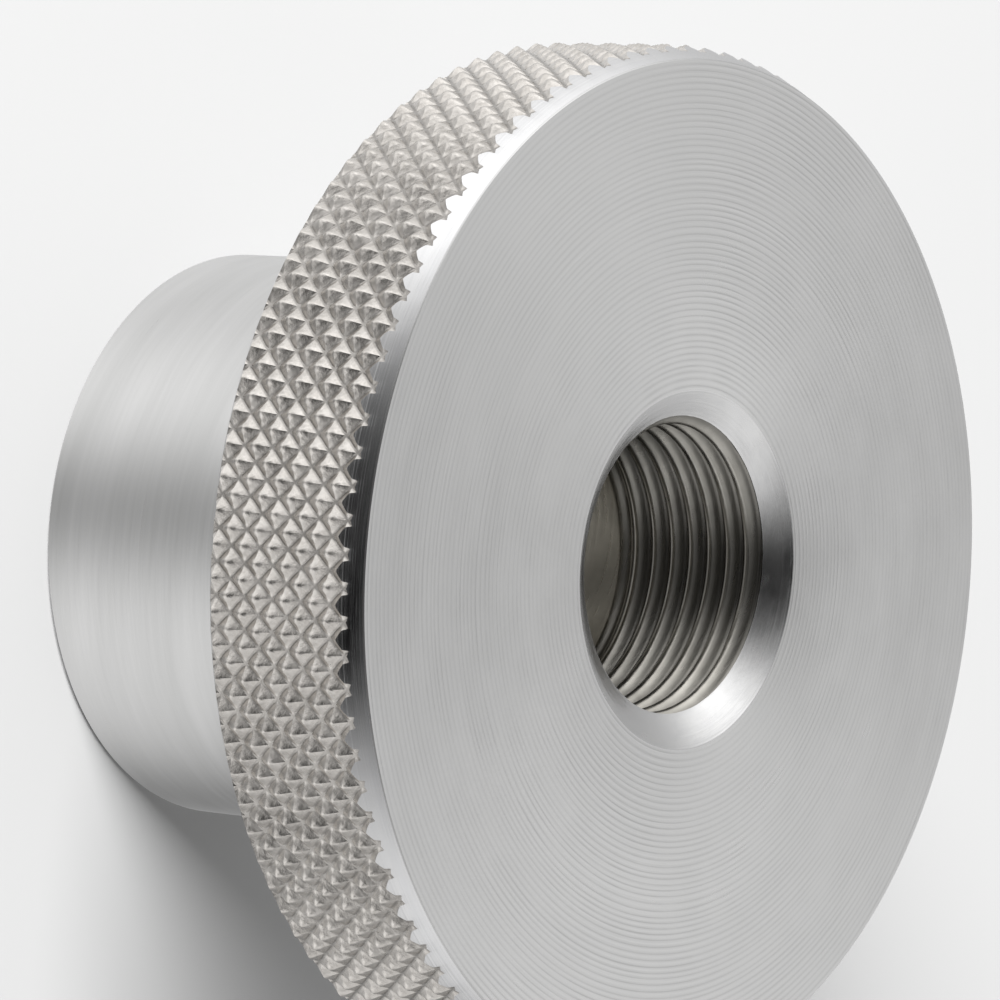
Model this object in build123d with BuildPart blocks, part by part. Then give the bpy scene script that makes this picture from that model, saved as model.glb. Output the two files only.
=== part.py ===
from build123d import *
import os

# Knurled nut, turned from bar in one piece.
# A wide, thin, diamond-knurled head on a narrower plain collar, with a
# countersunk and threaded hole down the middle.
# Frame: +Z is the turning axis. The collar's end face lies on z = 0 and the
# broad face of the head looks up. The origin is the centre of the collar end.
# All lengths in millimetres.

# Head
head_d = 33.6             # over the tips of the knurl
head_t = 6.0              # thickness of the head
height = 19.2             # overall, from the collar end to the broad face
face_chamfer = 0.50       # chamfer round the broad face: radial width
face_chamfer_z = 0.90     # and its depth along the axis, about 30 degrees to it
back_chamfer = 0.40       # 45 degree edge break on the back of the head

# Collar
collar_d = 19.0
collar_chamfer = 0.15     # 45 degree edge break at the collar end
neck_fillet = 0.50        # tool radius where the collar meets the head

# Hole, M10 x 0.75 threaded from the broad face
thread_d = 10.0           # nominal thread diameter
thread_pitch = 0.75
thread_drill_d = 9.30     # drilled diameter, which the thread crests keep
csk_d = 11.5              # mouth of the countersink on the broad face
csk_angle = 120.0         # included angle of the countersink
bore_chamfer = 0.40       # edge break of the hole at the collar end

head_r = head_d / 2
collar_r = collar_d / 2
drill_r = thread_drill_d / 2
head_z = height - head_t  # back face of the head

# The drilled hole has to keep a sensible thread height, and the countersink
# has to clear the thread's major diameter.
assert thread_d - 1.0825 * thread_pitch <= thread_drill_d <= thread_d - 0.8 * thread_pitch
assert csk_d > thread_d

with BuildPart() as knurled_nut:
    # Collar and head, one above the other on the same axis
    with BuildSketch(Plane.XY):
        Circle(collar_r)
    extrude(amount=height)
    with BuildSketch(Plane.XY.offset(head_z)):
        Circle(head_r)
    extrude(amount=head_t)

    # Tool radius in the corner between the collar and the back of the head
    neck = (
        knurled_nut.edges()
        .filter_by(GeomType.CIRCLE)
        .filter_by(lambda e: abs(e.radius - collar_r) < 1e-6)
        .filter_by_position(Axis.Z, head_z - 0.01, head_z + 0.01)
    )
    fillet(neck, radius=neck_fillet)

    # Chamfer round the broad face
    top_face = knurled_nut.faces().sort_by(Axis.Z)[-1]
    chamfer(
        top_face.edges().sort_by(SortBy.RADIUS)[-1],
        length=face_chamfer,
        length2=face_chamfer_z,
        reference=top_face,
    )

    # Edge break on the back of the head
    back_edge = (
        knurled_nut.edges()
        .filter_by(GeomType.CIRCLE)
        .filter_by(lambda e: abs(e.radius - head_r) < 1e-6)
        .sort_by(Axis.Z)[0]
    )
    chamfer(back_edge, length=back_chamfer)

    # Edge break round the collar end
    chamfer(
        knurled_nut.faces().sort_by(Axis.Z)[0].edges(),
        length=collar_chamfer,
    )

    # Through hole at the drilled diameter, countersunk in the broad face
    with Locations((0, 0, height)):
        CounterSinkHole(
            radius=drill_r,
            counter_sink_radius=csk_d / 2,
            counter_sink_angle=csk_angle,
        )

    # Edge break of the hole at the collar end
    chamfer(
        knurled_nut.faces().sort_by(Axis.Z)[0].edges().sort_by(SortBy.RADIUS)[0],
        length=bore_chamfer,
    )

knurled_nut.part.label = "knurled_nut"

os.makedirs("parts", exist_ok=True)
export_step(knurled_nut.part, "parts/knurled_nut.step")

box = knurled_nut.part.bounding_box()
print("size", round(box.size.X, 3), round(box.size.Y, 3), round(box.size.Z, 3))
print("lowest z", round(box.min.Z, 4), "highest z", round(box.max.Z, 4))
print("volume mm3", round(knurled_nut.part.volume, 1), "valid", knurled_nut.part.is_valid)
for f in knurled_nut.faces().sort_by(Axis.Z):
    fb = f.bounding_box()
    print(f.geom_type, "r", round(max(fb.max.X, fb.max.Y), 3), "z", round(fb.min.Z, 3), round(fb.max.Z, 3))
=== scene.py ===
import math

import bpy
import numpy as np
from mathutils import Matrix, Vector


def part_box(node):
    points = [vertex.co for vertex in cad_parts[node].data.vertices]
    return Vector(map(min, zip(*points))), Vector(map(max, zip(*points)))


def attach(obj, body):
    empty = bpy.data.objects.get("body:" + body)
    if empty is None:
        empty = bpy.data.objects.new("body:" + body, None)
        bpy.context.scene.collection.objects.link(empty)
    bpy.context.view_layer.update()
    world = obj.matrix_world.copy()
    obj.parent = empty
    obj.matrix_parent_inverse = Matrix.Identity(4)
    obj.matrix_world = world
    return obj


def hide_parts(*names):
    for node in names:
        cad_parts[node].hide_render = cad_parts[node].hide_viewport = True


# ---------------------------------------------------------------- the frame
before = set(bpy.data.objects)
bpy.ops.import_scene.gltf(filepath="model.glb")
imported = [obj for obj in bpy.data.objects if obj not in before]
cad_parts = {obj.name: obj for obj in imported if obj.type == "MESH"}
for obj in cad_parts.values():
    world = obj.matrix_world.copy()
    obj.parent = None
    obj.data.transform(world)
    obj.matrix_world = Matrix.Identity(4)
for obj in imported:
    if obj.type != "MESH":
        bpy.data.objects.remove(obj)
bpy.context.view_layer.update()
node_lo, node_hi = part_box("knurled_nut")

MM = 0.001
HEIGHT = (node_hi[2] - node_lo[2]) / MM      # 19.2
HEAD_R = (node_hi[0] - node_lo[0]) / 2 / MM  # 16.8, over the knurl's tips

# Dimensions of the turned nut, in millimetres, the same as the CAD node's
HEAD_T = 6.0
FACE_R = HEAD_R - 0.50
CHAMFER_Z = 0.90
BACK_CHAMFER = 0.40
COLLAR_R = 9.5
COLLAR_CHAMFER = 0.15
NECK_FILLET = 0.50
DRILL_R = 4.65
CSK_R = 5.75
CSK_SLOPE = math.tan(math.radians(60))   # radius lost for each mm of depth
BORE_CHAMFER = 0.40
HEAD_Z = HEIGHT - HEAD_T

# Knurl: two families of grooves that cross
TEETH = 102                    # grooves of each family round the rim
KNURL_LEAD = 1.12              # axial distance between two tips in line
TIP_TH, TIP_Z = math.radians(-87.02), 16.352   # one tip of the pattern
KNURL_DEPTH = 0.26
# how far down the side of a pyramid lies, from its tip (0) to the groove (0.5):
# a slightly worn tip, straight sides and a narrow groove
KNURL_SIDE = ((0.0, 0.0), (0.09, 0.11), (0.26, 0.49), (0.44, 0.91), (0.5, 1.0))

# Thread: M10 x 0.75, right-hand
PITCH = 0.75
MAJOR_R = 5.02
THREAD_END_Z = 12.9
CREST_PHASE = 0.83             # where the crest lies, in pitches, at angle 0

COLS = 10 * TEETH              # 1020 columns at the head's edges
COARSE = COLS // 6             # 170 round everything else


# ---------------------------------------------------------------- mesh kit
class Shell:
    def __init__(self):
        self.v, self.t, self.m = [], [], []

    def point(self, r, th, z):
        self.v.append((r * math.cos(th), r * math.sin(th), z))
        return len(self.v) - 1

    def ring(self, r, z, n):
        return [self.point(r, TIP_TH + 2 * math.pi * i / n, z) for i in range(n)]

    def tri(self, a, b, c, mat):
        if a != b and b != c and a != c:
            self.t.append((a, b, c))
            self.m.append(mat)

    def strip(self, a, b, mat):
        n = len(a)
        for i in range(n):
            j = (i + 1) % n
            self.tri(a[i], a[j], b[j], mat)
            self.tri(a[i], b[j], b[i], mat)

    def spread(self, coarse, fine, mat):
        """Joins a ring to a finer one with a whole number of steps to each of its own."""
        n, k = len(coarse), len(fine) // len(coarse)
        for i in range(n):
            c0, c1 = coarse[i], coarse[(i + 1) % n]
            for q in range(k):
                f0, f1 = fine[i * k + q], fine[(i * k + q + 1) % len(fine)]
                self.tri(c0 if q < (k + 1) // 2 else c1, f0, f1, mat)
                if q == (k + 1) // 2 - 1:
                    self.tri(c0, f1, c1, mat)

    def zip_loops(self, a, b, mat):
        """Joins two closed loops of (angle, vertex), both sorted over one turn."""
        p = q = 0
        na, nb = len(a), len(b)
        turn = 2 * math.pi
        while p < na or q < nb:
            ka = a[(p + 1) % na][0] + turn * ((p + 1) // na)
            kb = b[(q + 1) % nb][0] + turn * ((q + 1) // nb)
            if q == nb or (p < na and ka <= kb):
                self.tri(a[p % na][1], a[(p + 1) % na][1], b[q % nb][1], mat)
                p += 1
            else:
                self.tri(a[p % na][1], b[(q + 1) % nb][1], b[q % nb][1], mat)
                q += 1


FACE, CHAMFER, KNURL, COLLAR, SINK, THREAD = range(6)
s = Shell()

# ---------------------------------------------------------------- knurled rim
# The two families of grooves are the lines p = n + 1/2 and q = n + 1/2 of
# p = w + u, q = w - u, where u counts teeth round the rim and w counts leads
# along it. The mesh follows p and q, so each pyramid has straight, clean edges.
cell = 2 * math.pi / TEETH
rng = np.random.default_rng(7)
stations = [d for d, _ in KNURL_SIDE] + [1.0 - d for d, _ in KNURL_SIDE[-2:0:-1]]
drops = [h for _, h in KNURL_SIDE] + [h for _, h in KNURL_SIDE[-2:0:-1]]
NS = len(stations)
tip_drop = rng.uniform(0.0, 0.016, (2 * TEETH, 64))
tip_lean = rng.normal(0.0, 0.010, (2 * TEETH, 64, 2))


def station(i):
    return i // NS + stations[i % NS]


def lattice(i, j):
    """Angle, height and radius of the mesh point (i, j)."""
    p, q = station(i), station(j)
    u, w = (p - q) / 2, (p + q) / 2
    a, b = i % NS, j % NS
    # the highest power mean rounds the pyramid's ridges a little
    fall = min(1.0, (drops[a] ** 5 + drops[b] ** 5) ** 0.2)
    ti, tj = math.floor(p + 0.5), math.floor(q + 0.5)
    kk, ll = (ti - tj) % (2 * TEETH), (ti + tj) % 64
    near = 1.0 - fall
    r = HEAD_R - KNURL_DEPTH * fall - tip_drop[kk, ll] * near ** 2
    r += (tip_lean[kk, ll, 0] * (p - ti) + tip_lean[kk, ll, 1] * (q - tj)) * near * 4
    return TIP_TH + cell * u, TIP_Z + KNURL_LEAD * w, min(r, HEAD_R)


def cone_front(z):
    return FACE_R + (HEIGHT - z) * (HEAD_R - FACE_R) / CHAMFER_Z


def cone_back(z):
    return HEAD_R - BACK_CHAMFER + (z - HEAD_Z)


def cross(f, a, b):
    fa = f(a)
    for _ in range(40):
        c = (a + b) / 2
        if (f(c) > 0) == (fa > 0):
            a = c
        else:
            b = c
    return (a + b) / 2


PERIOD = NS * TEETH
knots = {}


def knot(i, j):
    """A lattice point as (angle, z, r, vertex, cut), with the turn closed on itself."""
    u = (station(i) - station(j)) / 2
    turns = math.floor(u / TEETH + 1e-9)
    key = (i - turns * PERIOD, j + turns * PERIOD)
    if key not in knots:
        th, z, r = lattice(*key)
        side = 0
        if z > HEAD_Z + 3 and r - cone_front(z) > 0:
            side = 1
        elif z < HEAD_Z + 3 and r - cone_back(z) > 0:
            side = -1
        knots[key] = [th, z, r, None if side else s.point(r, th, z), side]
    return key


cuts = {}
edge_loops = {1: [], -1: []}


def cut_point(ka, kb):
    """Where the edge between a kept and a cut lattice point meets the chamfer."""
    if knots[ka][4]:
        ka, kb = kb, ka
    if (ka, kb) not in cuts:
        a, b = knots[ka], knots[kb]
        cone = cone_front if b[4] > 0 else cone_back
        tb = b[0] - 2 * math.pi * round((b[0] - a[0]) / (2 * math.pi))
        t = cross(lambda t: a[2] + (b[2] - a[2]) * t - cone(a[1] + (b[1] - a[1]) * t), 0.0, 1.0)
        th, z = a[0] + (tb - a[0]) * t, a[1] + (b[1] - a[1]) * t
        vert = s.point(cone(z), th, z)
        cuts[(ka, kb)] = vert
        edge_loops[b[4]].append(((th - TIP_TH) % (2 * math.pi), vert))
    return cuts[(ka, kb)]


def rim_tri(keys):
    kept = [c for c in range(3) if not knots[keys[c]][4]]
    if len(kept) == 3:
        s.tri(*(knots[c][3] for c in keys), KNURL)
    elif len(kept) == 1:
        a, b, c = (keys[(kept[0] + d) % 3] for d in range(3))
        s.tri(knots[a][3], cut_point(a, b), cut_point(a, c), KNURL)
    elif len(kept) == 2:
        gone = 3 - sum(kept)
        c, a, b = (keys[(gone + d) % 3] for d in range(3))
        pa, pb = cut_point(a, c), cut_point(b, c)
        s.tri(knots[a][3], knots[b][3], pb, KNURL)
        s.tri(knots[a][3], pb, pa, KNURL)


w_lo, w_hi = (HEAD_Z - TIP_Z) / KNURL_LEAD, (HEIGHT - TIP_Z) / KNURL_LEAD
for total in range(math.floor(2 * w_lo) - 2, math.ceil(2 * w_hi) + 2):
    # unit cells whose centres share p + q, all the way round
    for c in range(TEETH):
        ci = c + total // 2 + (total % 2)
        cj = total - ci
        for a in range(NS):
            for b in range(NS):
                i, j = ci * NS + a, cj * NS + b
                wa, wb = station(i) + station(j), station(i + 1) + station(j + 1)
                if wb < 2 * w_lo - 0.01 or wa > 2 * w_hi + 0.01:
                    continue
                k00, k10, k11, k01 = knot(i, j), knot(i + 1, j), knot(i + 1, j + 1), knot(i, j + 1)
                if a == NS - 1 - b:
                    rim_tri((k00, k10, k01))
                    rim_tri((k10, k11, k01))
                else:
                    rim_tri((k00, k10, k11))
                    rim_tri((k00, k11, k01))

back_ring = s.ring(HEAD_R - BACK_CHAMFER, HEAD_Z, COLS)
edge_ring = s.ring(cone_front(HEIGHT - 0.04), HEIGHT - 0.04, COLS)
for side, ring, mat in ((1, edge_ring, CHAMFER), (-1, back_ring, COLLAR)):
    loop = sorted(edge_loops[side])
    s.zip_loops(loop, [(2 * math.pi * i / COLS, v) for i, v in enumerate(ring)], mat)

# ---------------------------------------------------------------- broad face
lip_ring = s.ring(FACE_R - 0.02, HEIGHT, COLS)
s.strip(edge_ring, lip_ring, FACE)
rings = [s.ring(r, HEIGHT, COARSE) for r in (13.0, 9.5, CSK_R + 0.03)]
s.spread(rings[0], lip_ring, FACE)
s.strip(rings[0], rings[1], FACE)
s.strip(rings[1], rings[2], FACE)

# ---------------------------------------------------------------- countersink, thread and bore
def sink_r(z):
    return CSK_R - (HEIGHT - z) * CSK_SLOPE


mouth = s.ring(sink_r(HEIGHT - 0.015), HEIGHT - 0.015, COARSE)
s.strip(rings[2], mouth, SINK)

flank = (MAJOR_R - DRILL_R) * math.tan(math.radians(30))
half_c, half_p = 0.095, PITCH / 2
THREAD_ROUND = 0.085


def thread_r(d):
    """Wall radius at a distance d from a crest's middle: a 60 degree thread with rounded edges."""
    total = 0.0
    for q in range(-4, 5):
        e = abs(d + THREAD_ROUND * q / 4)
        e = min(e, PITCH - e)
        total += min(MAJOR_R, DRILL_R + max(0.0, e - half_c) / math.tan(math.radians(30)))
    return total / 9


def wall_r(th, z):
    x = z / PITCH - th / (2 * math.pi) - CREST_PHASE
    r = thread_r(abs(x - round(x)) * PITCH)
    # the tap's lead: the last turns get shallower
    fade = min(1.0, max(0.0, (z - THREAD_END_Z) / (1.1 * PITCH)))
    return DRILL_R + (r - DRILL_R) * (fade ** 0.6)


OFFS = [0.0, 0.06, 0.095, 0.13, 0.20, 0.27, 0.32, half_p]
offs = sorted(set([round(o / PITCH, 6) for o in OFFS] + [round(1 - o / PITCH, 6) for o in OFFS if o > 0]))
offs = [o for o in offs if o < 1.0]
z_low, z_top = THREAD_END_Z - 0.25, HEIGHT - 0.015
z_mouth = HEIGHT - (CSK_R - DRILL_R) / CSK_SLOPE     # the cone meets the crests here
mouth_rows = [z_mouth - 0.02 + 0.0165 * q for q in range(17)]
low_ring = s.ring(DRILL_R, z_low, COARSE)
bore_cols = []
for i in range(COARSE):
    th = TIP_TH + 2 * math.pi * i / COARSE
    turn = th / (2 * math.pi)
    rows = []
    kk = math.floor(z_low / PITCH - turn - CREST_PHASE) - 1
    while (kk + CREST_PHASE + turn) * PITCH < z_top:
        for o in offs:
            z = (kk + o + CREST_PHASE + turn) * PITCH
            if z_low + 0.02 < z < mouth_rows[0] - 0.008:
                rows.append(z)
        kk += 1
    rows = sorted(rows) + mouth_rows
    signs = [wall_r(th, z) > sink_r(z) for z in rows]
    kinds = ["t" if g else "s" for g in signs]
    for q in range(len(rows) - 1):
        if signs[q] != signs[q + 1]:
            zc = cross(lambda t: wall_r(th, t) - sink_r(t), rows[q], rows[q + 1])
            m = q if zc - rows[q] < rows[q + 1] - zc else q + 1
            rows[m], kinds[m] = zc, "x"
    col = [(z_low / PITCH - turn, low_ring[i], "t")]
    for z, kind in zip(rows, kinds):
        r = sink_r(z) - 0.010 * rng.random() if kind == "x" else max(wall_r(th, z), sink_r(z))
        col.append((z / PITCH - turn, s.point(r, th, z), kind))
    col.append((z_top / PITCH - turn, mouth[i], "s"))
    bore_cols.append(col)

# the last column meets the first one turn on, so its keys differ by one
for i in range(COARSE):
    a, b = bore_cols[i], bore_cols[(i + 1) % COARSE]
    shift = -1.0 if i == COARSE - 1 else 0.0
    p = q = 0
    while p < len(a) - 1 or q < len(b) - 1:
        step_a = q == len(b) - 1 or (p < len(a) - 1 and a[p + 1][0] <= b[q + 1][0] + shift + 1e-7)
        new = a[p + 1] if step_a else b[q + 1]
        kinds = a[p][2] + b[q][2] + new[2]
        s.tri(a[p][1], b[q][1], new[1], THREAD if "t" in kinds else SINK)
        if step_a:
            p += 1
        else:
            q += 1

# plain bore down to the collar end
chain = [(DRILL_R, 8.0), (DRILL_R, BORE_CHAMFER), (DRILL_R + BORE_CHAMFER, 0.0)]
last = low_ring
for r, z in chain:
    ring = s.ring(r, z, COARSE)
    s.strip(last, ring, THREAD)
    last = ring

# collar end, collar, neck and back of the head
outer = [(COLLAR_R - COLLAR_CHAMFER, 0.0), (COLLAR_R, COLLAR_CHAMFER), (COLLAR_R, 4.5), (COLLAR_R, 8.5)]
for q in range(7):
    ang = math.pi / 2 * q / 6
    outer.append((COLLAR_R + NECK_FILLET * (1 - math.cos(ang)), HEAD_Z - NECK_FILLET * (1 - math.sin(ang))))
outer.append((13.0, HEAD_Z))
for r, z in outer:
    ring = s.ring(r, z, COARSE)
    s.strip(last, ring, COLLAR)
    last = ring
s.spread(last, back_ring, COLLAR)

# ---------------------------------------------------------------- the mesh object
mesh = bpy.data.meshes.new("nut_body")
verts = [(x * MM, y * MM, z * MM) for x, y, z in s.v]
mesh.from_pydata(verts, [], s.t)
import bmesh
bm = bmesh.new()
bm.from_mesh(mesh)
bm.faces.ensure_lookup_table()
for f, m in zip(bm.faces, s.m):
    f.material_index = m
    f.smooth = True
bmesh.ops.dissolve_degenerate(bm, dist=1e-8, edges=bm.edges)
bmesh.ops.recalc_face_normals(bm, faces=bm.faces)
sharp = math.radians(28)
for e in bm.edges:
    if len(e.link_faces) == 2:
        pair = {f.material_index for f in e.link_faces}
        if e.calc_face_angle(0.0) > sharp or pair in ({KNURL, CHAMFER}, {KNURL, COLLAR}):
            e.smooth = False
open_edges = sum(1 for e in bm.edges if len(e.link_faces) != 2)
bm.to_mesh(mesh)
volume = bm.calc_volume(signed=True)
bm.free()
print("nut mesh: verts", len(mesh.vertices), "triangles", len(mesh.polygons), "open edges", open_edges, "volume mm3", round(volume * 1e9, 1))
nut = bpy.data.objects.new("nut_body", mesh)
bpy.context.collection.objects.link(nut)
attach(nut, "root")
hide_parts("knurled_nut")


# ---------------------------------------------------------------- materials
class Graph:
    """A short way to write a material's node graph."""

    def __init__(self, name):
        self.mat = bpy.data.materials.new(name)
        self.mat.use_nodes = True
        self.nt = self.mat.node_tree
        self.bsdf = next(nd for nd in self.nt.nodes if nd.type == "BSDF_PRINCIPLED")
        self.xyz = self.node("ShaderNodeSeparateXYZ", {"Vector": self.node("ShaderNodeTexCoord").outputs["Object"]})
        x, y = self.xyz.outputs[0], self.xyz.outputs[1]
        self.pos = self.xyz.inputs[0].links[0].from_socket
        self.z = self.xyz.outputs[2]
        self.r = self.math("SQRT", self.math("ADD", self.math("MULTIPLY", x, x), self.math("MULTIPLY", y, y)))
        self.th = self.math("ARCTAN2", y, x)

    def put(self, socket, val):
        if isinstance(val, bpy.types.NodeSocket):
            self.nt.links.new(val, socket)
        else:
            socket.default_value = val

    def node(self, kind, inputs=None, **props):
        nd = self.nt.nodes.new(kind)
        for key, val in props.items():
            setattr(nd, key, val)
        for key, val in (inputs or {}).items():
            self.put(nd.inputs[key], val)
        return nd

    def math(self, op, a, b=None, clamp=False):
        nd = self.node("ShaderNodeMath", operation=op, use_clamp=clamp)
        self.put(nd.inputs[0], a)
        if b is not None:
            self.put(nd.inputs[1], b)
        return nd.outputs[0]

    def fit(self, val, lo, hi, to_lo, to_hi, smooth=False):
        nd = self.node("ShaderNodeMapRange", {"Value": val, "From Min": lo, "From Max": hi, "To Min": to_lo, "To Max": to_hi},
                       interpolation_type="SMOOTHSTEP" if smooth else "LINEAR")
        return nd.outputs[0]

    def cylinder(self, kr, kth, kz):
        """Coordinates stretched along radius, angle and height, for marks that run round the axis."""
        comb = self.node("ShaderNodeCombineXYZ", {"X": self.math("MULTIPLY", self.r, kr),
                                                  "Y": self.math("MULTIPLY", self.math("SINE", self.th), kth),
                                                  "Z": self.math("MULTIPLY", self.z, kz)})
        add = self.node("ShaderNodeCombineXYZ", {"X": 0.0, "Y": 0.0,
                                                 "Z": self.math("MULTIPLY", self.math("COSINE", self.th), kth * 0.83)})
        return self.node("ShaderNodeVectorMath", {0: comb.outputs[0], 1: add.outputs[0]}, operation="ADD").outputs[0]

    def noise(self, vec, scale, detail=2.0, rough=0.5):
        return self.node("ShaderNodeTexNoise", {"Vector": vec, "Scale": scale, "Detail": detail, "Roughness": rough}).outputs["Fac"]

    def noise1(self, w, scale, detail=2.0, rough=0.5):
        nd = self.node("ShaderNodeTexNoise", {"W": w, "Scale": scale, "Detail": detail, "Roughness": rough}, noise_dimensions="1D")
        return nd.outputs["Fac"]

    def cusps(self, along, feed, shift=0.0):
        """The scallops that a lathe tool leaves: 0 in each groove's bottom, 1 on the cusps."""
        t = self.math("FRACT", self.math("ADD", self.math("DIVIDE", along, feed), shift))
        t = self.math("MULTIPLY", self.math("SUBTRACT", t, 0.5), 2.0)
        return self.math("MULTIPLY", t, t)

    def finish(self, color, rough, aniso=0.0, height=None, strength=1.0):
        b = self.bsdf
        self.put(b.inputs["Base Color"], color if isinstance(color, bpy.types.NodeSocket) else (*color, 1))
        b.inputs["Metallic"].default_value = 1.0
        self.put(b.inputs["Roughness"], rough)
        if aniso:
            b.inputs["Anisotropic"].default_value = aniso
            b.inputs["Anisotropic Rotation"].default_value = 0.25
            t = self.node("ShaderNodeTangent", direction_type="RADIAL", axis="Z")
            self.put(b.inputs["Tangent"], t.outputs[0])
        if height is not None:
            bump = self.node("ShaderNodeBump", {"Height": height, "Distance": 1.0, "Strength": strength})
            self.put(b.inputs["Normal"], bump.outputs[0])
        return self.mat

    def tint(self, fac, low, high):
        mix = self.node("ShaderNodeMix", data_type="RGBA", clamp_factor=True)
        self.put(mix.inputs["Factor"], fac)
        mix.inputs["A"].default_value, mix.inputs["B"].default_value = (*low, 1), (*high, 1)
        cols = [sck for sck in mix.inputs if sck.type == "RGBA"]
        cols[0].default_value, cols[1].default_value = (*low, 1), (*high, 1)
        return next(o for o in mix.outputs if o.type == "RGBA")


def face_steel():
    """Fine turning rings, a little uneven, with the odd handling mark."""
    g = Graph("turned_face")
    feed = 0.000200
    wander = g.math("MULTIPLY", g.noise1(g.r, 1300.0, 2.0), feed * 0.7)
    scallops = g.cusps(g.math("ADD", g.r, wander), feed)
    each = g.fit(g.noise1(g.r, 3300.0, 2.0, 0.7), 0.3, 0.7, 0.6, 1.3)
    round_it = g.fit(g.noise(g.cylinder(700.0, 5.0, 0.0), 1.0, 2.0, 0.5), 0.3, 0.7, 0.55, 1.3)
    # the face runs out by a hair, so the tool cut deeper at two sides
    runout = g.fit(g.math("COSINE", g.math("MULTIPLY", g.th, 2.0)), -1.0, 1.0, 0.55, 1.45)
    round_it = g.math("MULTIPLY", round_it, runout)
    rings = g.math("MULTIPLY", g.math("MULTIPLY", g.math("MULTIPLY", scallops, each), round_it), 0.0000055)
    fine = g.math("MULTIPLY", g.noise1(g.r, 16000.0, 2.0, 0.6), 0.0000026)
    marks = g.math("MULTIPLY", g.noise(g.cylinder(9000.0, 9.0, 0.0), 1.0, 3.0, 0.6), 0.0000026)
    grain = g.math("MULTIPLY", g.noise(g.pos, 7000.0, 3.0, 0.6), 0.0000030)
    height = g.math("ADD", g.math("ADD", rings, fine), g.math("ADD", marks, grain))
    cloud = g.noise(g.cylinder(500.0, 3.0, 0.0), 1.0, 3.0, 0.6)
    rough = g.fit(cloud, 0.3, 0.7, 0.27, 0.33)
    patch = g.noise(g.pos, 260.0, 4.0, 0.6)
    base = g.tint(patch, (0.530, 0.531, 0.527), (0.562, 0.559, 0.556))
    ridge = g.fit(g.math("MULTIPLY", scallops, round_it), 0.0, 1.0, 1.03, 0.915)
    color = g.node("ShaderNodeVectorMath", {0: base}, operation="SCALE")
    g.put(color.inputs["Scale"], ridge)
    return g.finish(color.outputs[0], rough, 0.65, height)


def chamfer_steel():
    """Bright fine turning with a few deeper lines round it."""
    g = Graph("turned_chamfer")
    across = g.math("SUBTRACT", g.math("MULTIPLY", g.r, 0.5), g.z)
    lines = g.math("MULTIPLY", g.noise1(across, 14000.0, 3.0, 0.6), 0.0000050)
    marks = g.math("MULTIPLY", g.noise(g.cylinder(7000.0, 7.0, 7000.0), 1.0, 3.0, 0.6), 0.0000050)
    color = g.tint(g.noise(g.cylinder(4000.0, 5.0, 4000.0), 1.0, 3.0), (0.550, 0.552, 0.560), (0.603, 0.600, 0.600))
    rough = g.fit(g.noise(g.cylinder(2000.0, 8.0, 2000.0), 1.0, 3.0), 0.3, 0.7, 0.15, 0.22)
    return g.finish(color, rough, 0.5, g.math("ADD", lines, marks))


def knurl_steel():
    """Metal that the knurling wheels have pressed and smeared, a little warmer and rougher."""
    g = Graph("knurled_rim")
    grain = g.noise(g.pos, 7000.0, 4.0, 0.65)
    blotch = g.noise(g.pos, 1100.0, 3.0, 0.6)
    height = g.math("ADD", g.math("MULTIPLY", grain, 0.000014), g.math("MULTIPLY", blotch, 0.000016))
    mixed = g.math("ADD", g.math("MULTIPLY", grain, 0.55), g.math("MULTIPLY", blotch, 0.45))
    base = g.tint(g.fit(mixed, 0.36, 0.64, 0.0, 1.0), (0.500, 0.475, 0.445), (0.650, 0.623, 0.592))
    # the pattern's own coordinates, to darken the colour along the grooves: painted shade in the groove bottoms,
    # partly grime
    u = g.math("DIVIDE", g.math("SUBTRACT", g.th, TIP_TH), cell)
    w = g.math("DIVIDE", g.math("SUBTRACT", g.z, TIP_Z * MM), KNURL_LEAD * MM)
    away = [g.math("ABSOLUTE", g.math("SUBTRACT", g.math("FRACT", g.math(op, w, u)), 0.5)) for op in ("ADD", "SUBTRACT")]
    groove = g.math("MINIMUM", *away)
    # painted shade and grime: the colour falls to 0.62 of itself in the groove bottoms
    groove_shade_and_grime = g.fit(groove, 0.02, 0.11, 0.62, 1.0, smooth=True)
    color = g.node("ShaderNodeVectorMath", {0: base}, operation="SCALE")
    g.put(color.inputs["Scale"], groove_shade_and_grime)
    rough = g.fit(blotch, 0.3, 0.7, 0.20, 0.33)
    return g.finish(color.outputs[0], rough, 0.0, height)


def collar_steel():
    """Brushed round, with soft broad streaks."""
    g = Graph("turned_collar")
    brush = g.noise(g.cylinder(4200.0, 2.2, 4200.0), 1.0, 4.0, 0.65)
    wide = g.noise(g.cylinder(650.0, 1.3, 650.0), 1.0, 3.0, 0.55)
    height = g.math("ADD", g.math("MULTIPLY", brush, 0.0000085), g.math("MULTIPLY", wide, 0.000026))
    streak = g.math("ADD", g.math("MULTIPLY", wide, 0.55), g.math("MULTIPLY", brush, 0.45))
    color = g.tint(g.fit(streak, 0.35, 0.65, 0.0, 1.0), (0.510, 0.510, 0.505), (0.603, 0.601, 0.598))
    rough = g.fit(brush, 0.3, 0.7, 0.27, 0.36)
    return g.finish(color, rough, 0.6, height)


def sink_steel():
    """A drill-ground cone: bright, with chatter lines round it."""
    g = Graph("countersink")
    across = g.math("SUBTRACT", g.z, g.r)
    lines = g.math("MULTIPLY", g.noise1(across, 13000.0, 3.0, 0.6), 0.0000070)
    marks = g.math("MULTIPLY", g.noise(g.cylinder(6000.0, 8.0, 6000.0), 1.0, 3.0, 0.6), 0.0000055)
    color = g.tint(g.noise(g.cylinder(3500.0, 6.0, 3500.0), 1.0, 3.0), (0.515, 0.515, 0.517), (0.575, 0.572, 0.568))
    rough = g.fit(g.noise(g.cylinder(2000.0, 6.0, 2000.0), 1.0, 3.0), 0.3, 0.7, 0.20, 0.28)
    return g.finish(color, rough, 0.5, g.math("ADD", lines, marks))


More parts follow.
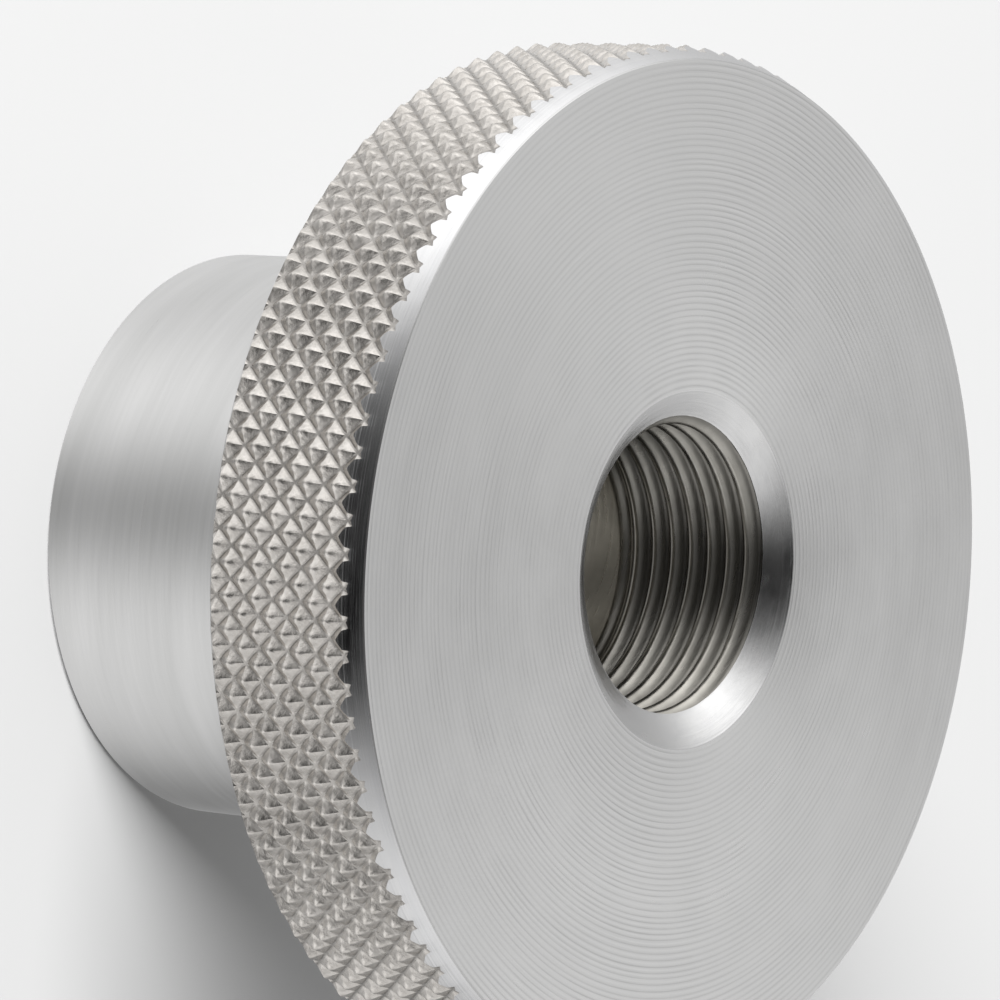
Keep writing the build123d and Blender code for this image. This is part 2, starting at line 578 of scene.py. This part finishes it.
def thread_steel():
    """Tapped and bored wall, duller and darker than the outside."""
    g = Graph("thread_wall")
    streak = g.noise(g.cylinder(3000.0, 6.0, 5200.0), 1.0, 4.0, 0.65)
    blotch = g.noise(g.pos, 700.0, 3.0, 0.6)
    height = g.math("MULTIPLY", streak, 0.000008)
    color = g.tint(g.fit(blotch, 0.3, 0.7, 0.0, 1.0), (0.354, 0.341, 0.310), (0.470, 0.454, 0.417))
    # painted shade: the colour darkens to 0.55 of itself towards the thread's roots
    root_shade = g.fit(g.r, (DRILL_R + 0.05) * MM, (MAJOR_R - 0.09) * MM, 1.0, 0.55, smooth=True)
    root_shaded_color = g.node("ShaderNodeVectorMath", {0: color}, operation="SCALE")
    g.put(root_shaded_color.inputs["Scale"], root_shade)
    rough = g.fit(streak, 0.3, 0.7, 0.25, 0.36)
    return g.finish(root_shaded_color.outputs[0], rough, 0.3, height)


for m in (face_steel(), chamfer_steel(), knurl_steel(), collar_steel(), sink_steel(), thread_steel()):
    mesh.materials.append(m)

# ---------------------------------------------------------------- floor
floor_mesh = bpy.data.meshes.new("floor")
low = -0.00001   # a hair below the collar end, so the two faces never share a plane
floor_mesh.from_pydata([(-2, -2, low), (2, -2, low), (2, 2, low), (-2, 2, low)], [], [(0, 1, 2, 3)])
floor = bpy.data.objects.new("floor", floor_mesh)
bpy.context.collection.objects.link(floor)
pale = Graph("pale_floor")
pale.bsdf.inputs["Base Color"].default_value = (0.38, 0.38, 0.38, 1)
pale.bsdf.inputs["Roughness"].default_value = 0.9
pale.bsdf.inputs["Specular IOR Level"].default_value = 0.0
floor_mesh.materials.append(pale.mat)
floor.visible_glossy = False
floor.visible_shadow = False

# a large soft light high on the -X side, kept to the floor, for the nut's soft shadow
key_light = bpy.data.lights.new("floor_light", "AREA")
key_light.shape = "DISK"
key_light.size = 0.52
key_light.energy = 36.5
key = bpy.data.objects.new("floor_light", key_light)
bpy.context.collection.objects.link(key)
towards = Vector((math.cos(math.radians(224)) * math.cos(math.radians(30)),
                  math.sin(math.radians(224)) * math.cos(math.radians(30)), math.sin(math.radians(30))))
key.location = towards
key.rotation_euler = towards.to_track_quat("Z", "Y").to_euler()
key.visible_camera = False
floor_only = bpy.data.collections.new("floor_only")
floor_only.objects.link(floor)
key.light_linking.receiver_collection = floor_only

# ---------------------------------------------------------------- camera
cam_data = bpy.data.cameras.new("camera")
cam = bpy.data.objects.new("camera", cam_data)
bpy.context.collection.objects.link(cam)
cam_data.sensor_width = 36.0
cam_data.lens = 206.4918
cam_data.clip_start, cam_data.clip_end = 0.005, 20.0
right = Vector((-0.0803, 0.61463, 0.78472))
up = Vector((-0.99672, -0.05706, -0.0573))
back = right.cross(up).normalized()
up = back.cross(right).normalized()
right.normalize()
cam.matrix_world = Matrix.Translation(Vector((0.0, -0.148211, 0.127569))) @ Matrix((
    (right.x, up.x, back.x, 0), (right.y, up.y, back.y, 0), (right.z, up.z, back.z, 0), (0, 0, 0, 1)))
bpy.context.scene.camera = cam

# ---------------------------------------------------------------- light
world = bpy.data.worlds.new("studio")
bpy.context.scene.world = world
world.use_nodes = True
# soft boxes round the nut: azimuth, elevation, sharpness and brightness of each
SKY_TINT = (1.0, 1.0, 1.0)
SKY_BASE = 0.053
SKY = [
    (89.1, -30.9, 2.0, 4.296), (101.3, -19.7, 3.0, -2.456), (259.1, -16.0, 4.9, -4.000),
    (288.1, -12.8, 4.9, 3.901), (61.0, -39.7, 3.2, -2.136), (139.8, 50.7, 7.2, -3.228),
    (161.1, 29.6, 4.6, 1.789), (5.9, 48.8, 11.5, -3.999), (139.5, 49.9, 11.1, 3.649),
    (359.5, 36.7, 8.7, 2.473), (227.3, -32.1, 6.1, 1.700), (247.0, -11.0, 9.1, 2.324),
    (8.0, 56.6, 19.8, 2.636), (298.8, -7.4, 11.2, -1.393), (203.8, 15.6, 11.9, 1.217),
    (294.3, 16.9, 12.0, -0.892), (359.9, -47.4, 9.9, 0.647), (39.2, 46.8, 18.9, 1.199),
    (261.4, -83.4, 9.1, -0.462), (81.9, 38.7, 17.8, 0.684),
]
wn = world.node_tree.nodes
wl = world.node_tree.links
sky_dir = wn.new("ShaderNodeVectorMath")
sky_dir.operation = "NORMALIZE"
wl.new(wn.new("ShaderNodeTexCoord").outputs["Generated"], sky_dir.inputs[0])


def sky_math(op, *vals):
    nd = wn.new("ShaderNodeMath")
    nd.operation = op
    for sck, val in zip(nd.inputs, vals):
        if isinstance(val, bpy.types.NodeSocket):
            wl.new(val, sck)
        else:
            sck.default_value = val
    return nd.outputs[0]


glow = None
for az, el, sharpness, amount in SKY:
    dot = wn.new("ShaderNodeVectorMath")
    dot.operation = "DOT_PRODUCT"
    wl.new(sky_dir.outputs[0], dot.inputs[0])
    az, el = math.radians(az), math.radians(el)
    dot.inputs[1].default_value = (math.cos(el) * math.cos(az), math.cos(el) * math.sin(az), math.sin(el))
    lobe = sky_math("EXPONENT", sky_math("MULTIPLY_ADD", dot.outputs["Value"], sharpness, -sharpness))
    glow = sky_math("MULTIPLY_ADD", lobe, amount, SKY_BASE if glow is None else glow)
glow = sky_math("MAXIMUM", glow, 0.0)
shade = wn.new("ShaderNodeCombineColor")
for sck, gain in zip(shade.inputs, SKY_TINT):
    wl.new(sky_math("MULTIPLY", glow, gain), sck)
wl.new(shade.outputs[0], wn["Background"].inputs[0])
wn["Background"].inputs[1].default_value = 1.0
bpy.context.scene.view_settings.view_transform = "Standard"
